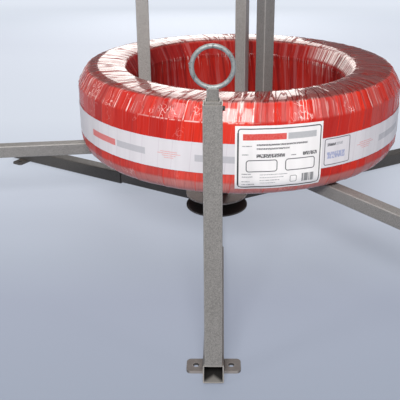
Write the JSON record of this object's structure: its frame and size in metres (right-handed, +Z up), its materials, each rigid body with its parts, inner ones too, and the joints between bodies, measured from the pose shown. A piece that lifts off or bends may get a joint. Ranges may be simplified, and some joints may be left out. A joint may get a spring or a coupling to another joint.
{
  "type": "pipe coil uncoiler",
  "caption": "Floor-standing turntable for paying out coiled plastic pipe: base with telescopic legs, turning arms with uprights, guide ring on a post, and a film-wrapped coil.",
  "frame": {"origin": "on the floor, on the carousel's axis of turning", "axes": "+Z up along the spindle; -Y along the front leg, which carries the guide post"},
  "size_m": [1.1106, 1.1532, 0.566],
  "materials": {
    "hub_bottom_plate": "dark paint, satin",
    "hub_top_plate": "grey paint, satin",
    "stub_front": "grey paint, satin",
    "stub_right": "grey paint, satin",
    "stub_left": "grey paint, satin",
    "column": "grey paint, satin",
    "column_cap": "grey paint, satin",
    "spindle": "bright turned steel",
    "spindle_washer": "bright turned steel",
    "spindle_nut": "bright turned steel",
    "bearing_spacer": "bright turned steel",
    "lower_bearing_inner": "bright turned steel",
    "upper_bearing_inner": "bright turned steel",
    "lower_bearing_balls": "polished",
    "upper_bearing_balls": "polished",
    "lower_bearing_cage": "machined",
    "upper_bearing_cage": "machined",
    "lower_bearing_outer": "bright turned steel",
    "upper_bearing_outer": "bright turned steel",
    "bearing_housing": "grey paint, satin",
    "carousel_lower_plate": "grey paint, satin",
    "carousel_upper_plate": "grey paint, satin",
    "arm_left": "grey paint, satin",
    "arm_right": "grey paint, satin",
    "arm_back": "grey paint, satin",
    "upright_left": "grey paint, satin",
    "upright_right": "grey paint, satin",
    "upright_back": "grey paint, satin",
    "leg_front": "grey paint, satin",
    "foot_front": "grey paint, satin",
    "leg_nut_front": "grey paint, satin",
    "guide_post": "grey paint, satin",
    "post_liner": "grey paint, satin",
    "leg_right": "grey paint, satin",
    "foot_right": "grey paint, satin",
    "leg_nut_right": "grey paint, satin",
    "leg_left": "grey paint, satin",
    "foot_left": "grey paint, satin",
    "leg_nut_left": "grey paint, satin",
    "leg_screw_front": "blackened",
    "leg_screw_right": "blackened",
    "leg_screw_left": "blackened",
    "post_set_screw": "blackened",
    "guide_stem": "grey paint, satin",
    "guide_ring": "thin pale paint, satin",
    "pipe_coil": "smooth plastic pipe",
    "film_wrap": "clear stretch film, glossy and creased",
    "paper_band": "white paper under film",
    "coil_label": "white paper",
    "small_label": "white paper"
  },
  "bodies": {
    "base": {"hub_bottom_plate": "hub_bottom_plate", "hub_top_plate": "hub_top_plate", "stub_front": "stub_front", "stub_right": "stub_right", "stub_left": "stub_left", "column": "column", "column_cap": "column_cap", "spindle": "spindle", "spindle_washer": "spindle_washer", "spindle_nut": "spindle_nut", "bearing_spacer": "bearing_spacer", "lower_bearing_inner": "lower_bearing_inner", "upper_bearing_inner": "upper_bearing_inner"},
    "bearing_cages": {"lower_bearing_balls": "lower_bearing_balls", "upper_bearing_balls": "upper_bearing_balls", "lower_bearing_cage": "lower_bearing_cage", "upper_bearing_cage": "upper_bearing_cage"},
    "carousel": {"lower_bearing_outer": "lower_bearing_outer", "upper_bearing_outer": "upper_bearing_outer", "bearing_housing": "bearing_housing", "carousel_lower_plate": "carousel_lower_plate", "carousel_upper_plate": "carousel_upper_plate", "arm_left": "arm_left", "arm_right": "arm_right", "arm_back": "arm_back", "upright_left": "upright_left", "upright_right": "upright_right", "upright_back": "upright_back"},
    "front_leg": {"leg_front": "leg_front", "foot_front": "foot_front", "leg_nut_front": "leg_nut_front", "guide_post": "guide_post", "post_liner": "post_liner"},
    "right_leg": {"leg_right": "leg_right", "foot_right": "foot_right", "leg_nut_right": "leg_nut_right"},
    "left_leg": {"leg_left": "leg_left", "foot_left": "foot_left", "leg_nut_left": "leg_nut_left"},
    "front_leg_screw": {"leg_screw_front": "leg_screw_front"},
    "right_leg_screw": {"leg_screw_right": "leg_screw_right"},
    "left_leg_screw": {"leg_screw_left": "leg_screw_left"},
    "set_screw": {"post_set_screw": "post_set_screw"},
    "guide": {"guide_stem": "guide_stem", "guide_ring": "guide_ring"},
    "coil": {"pipe_coil": "pipe_coil", "film_wrap": "film_wrap", "paper_band": "paper_band", "coil_label": "coil_label", "small_label": "small_label"}
  },
  "joints": [
    {"name": "carousel_spin", "type": "hinge", "parent": "base", "child": "carousel", "pos_m": [0, 0, 0.1535], "axis": [0, 0, 1], "continuous": true},
    {"name": "cage_spin", "type": "hinge", "parent": "base", "child": "bearing_cages", "pos_m": [0, 0, 0.1475], "axis": [0, 0, 1], "continuous": true},
    {"name": "front_leg_slide", "type": "slide", "parent": "base", "child": "front_leg", "axis": [0, -1, 0], "range_m": [0, 0.22]},
    {"name": "right_leg_slide", "type": "slide", "parent": "base", "child": "right_leg", "axis": [0.866, 0.5, 0], "range_m": [0, 0.22]},
    {"name": "left_leg_slide", "type": "slide", "parent": "base", "child": "left_leg", "axis": [-0.866, 0.5, 0], "range_m": [0, 0.22]},
    {"name": "front_leg_screw_turn", "type": "hinge", "parent": "front_leg", "child": "front_leg_screw", "pos_m": [0, -0.275, 0.04], "axis": [0, 0, 1], "range_deg": [0, 720]},
    {"name": "right_leg_screw_turn", "type": "hinge", "parent": "right_leg", "child": "right_leg_screw", "pos_m": [0.23816, 0.1375, 0.04], "axis": [0, 0, 1], "range_deg": [0, 720]},
    {"name": "left_leg_screw_turn", "type": "hinge", "parent": "left_leg", "child": "left_leg_screw", "pos_m": [-0.23816, 0.1375, 0.04], "axis": [0, 0, 1], "range_deg": [0, 720]},
    {"name": "set_screw_turn", "type": "hinge", "parent": "front_leg", "child": "set_screw", "pos_m": [0.0125, -0.6075, 0.407], "axis": [1, 0, 0], "range_deg": [0, 720]},
    {"name": "guide_height", "type": "slide", "parent": "front_leg", "child": "guide", "axis": [0, 0, 1], "range_m": [-0.012, 0.28]},
    {"name": "coil_lift", "type": "slide", "parent": "carousel", "child": "coil", "axis": [0, 0, 1], "range_m": [0, 0.42]}
  ],
  "couplings": [
    {"joint": "cage_spin", "follows": "carousel_spin", "ratio": 0.6031}
  ]
}
